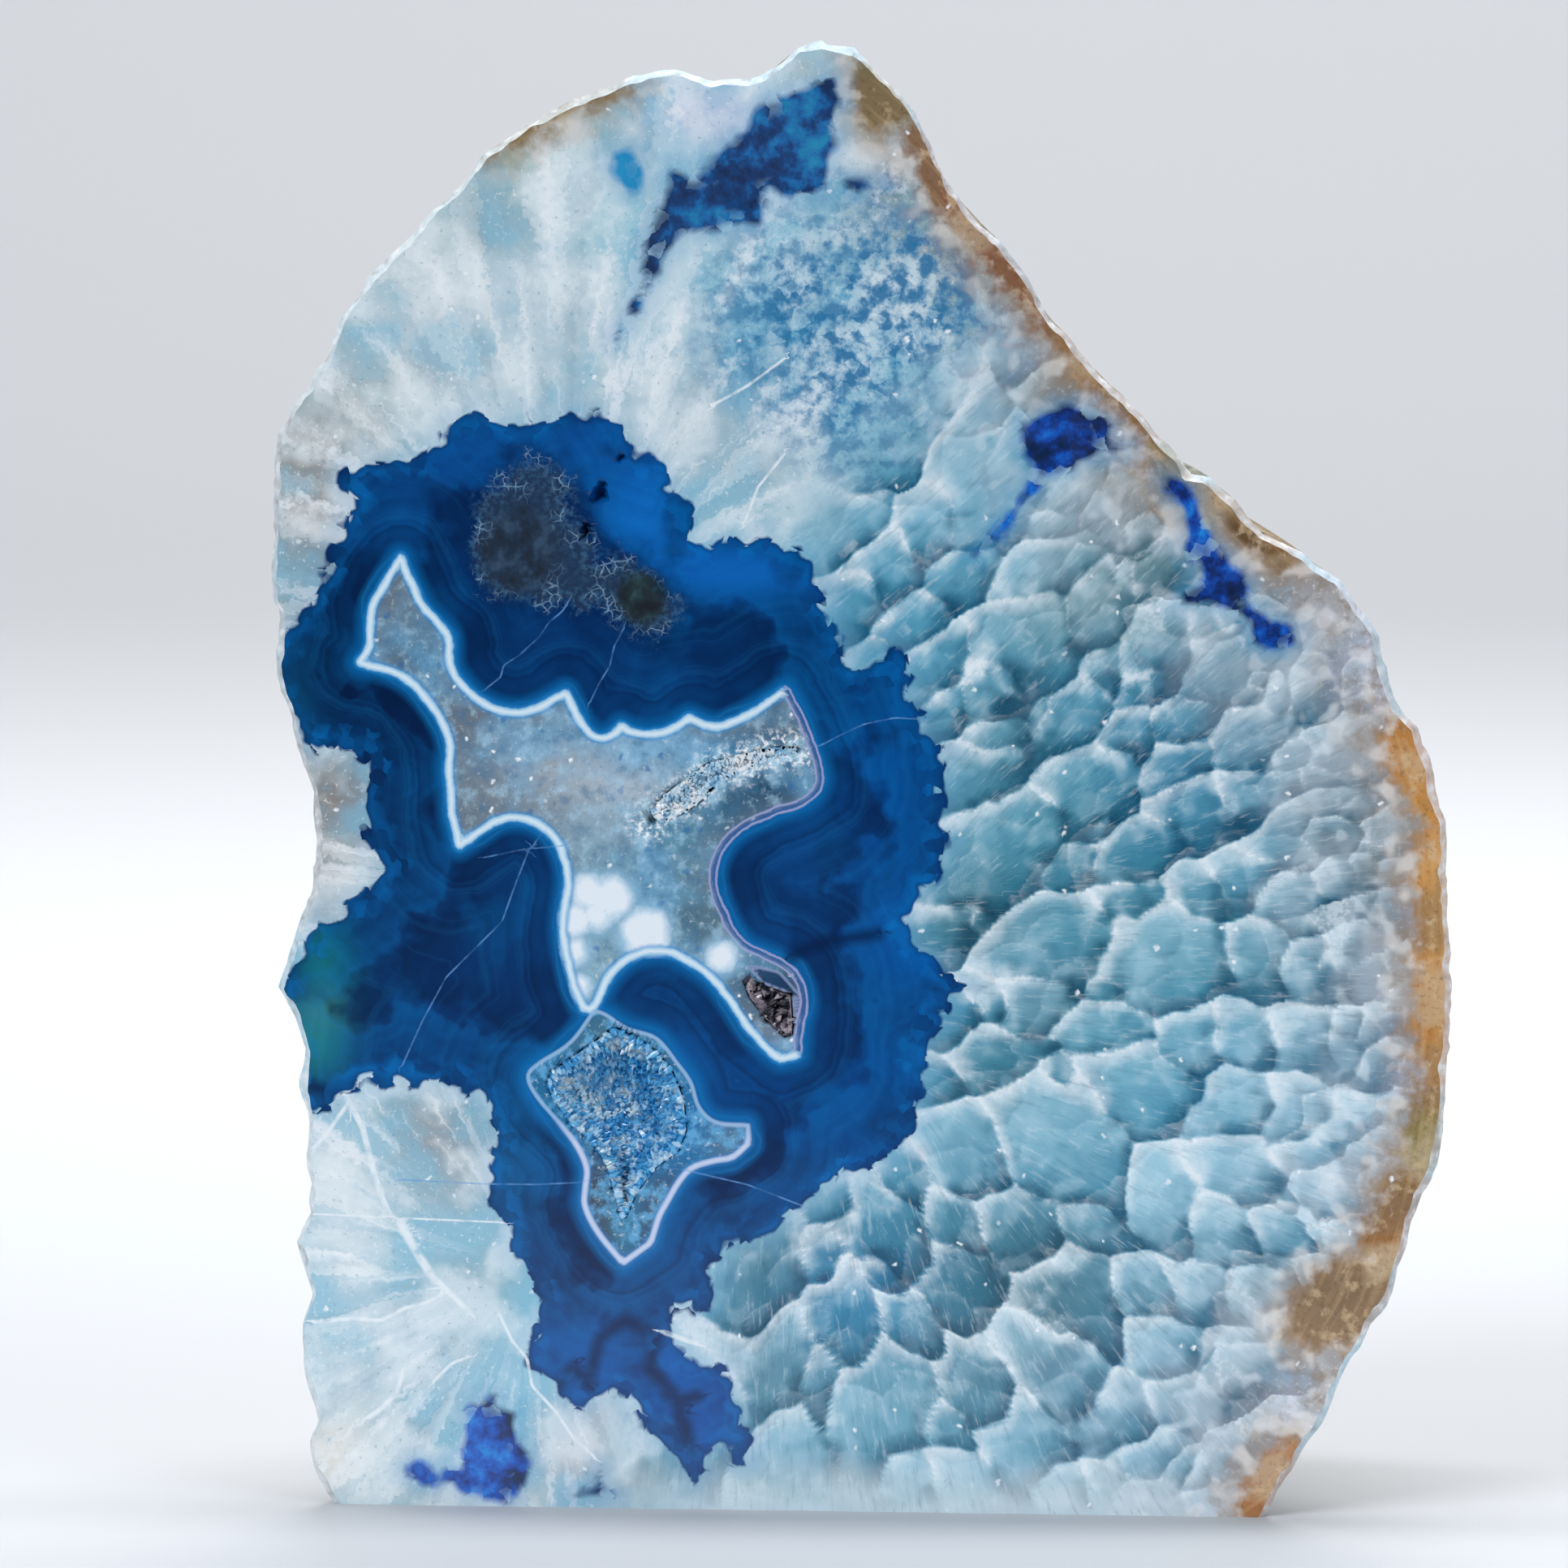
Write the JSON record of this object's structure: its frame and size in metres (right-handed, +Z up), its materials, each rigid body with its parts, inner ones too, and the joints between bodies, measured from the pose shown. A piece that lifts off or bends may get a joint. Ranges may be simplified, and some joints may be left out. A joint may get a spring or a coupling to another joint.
{
  "type": "agate geode",
  "caption": "Upright half nodule with a polished banded blue and pale quartz face, crystal-lined hollows, a rough rind and a sawn base",
  "frame": {"origin": "middle of the sawn base's level, under the centre of the stone's box", "axes": "+Z up along the stone's height, -Y out of the polished face, +X to the right as the face is seen"},
  "size_m": [0.1463, 0.058, 0.1823],
  "materials": {
    "agate_stone": "polished",
    "blue_druse": "gloss",
    "smoky_druse": "gloss",
    "sugary_quartz": "satin"
  },
  "bodies": {
    "root": {"agate_geode": "agate_stone", "druse_lower_pocket": "blue_druse", "druse_wedge_vug": "smoky_druse", "druse_star_fissure": "sugary_quartz"}
  },
  "joints": []
}
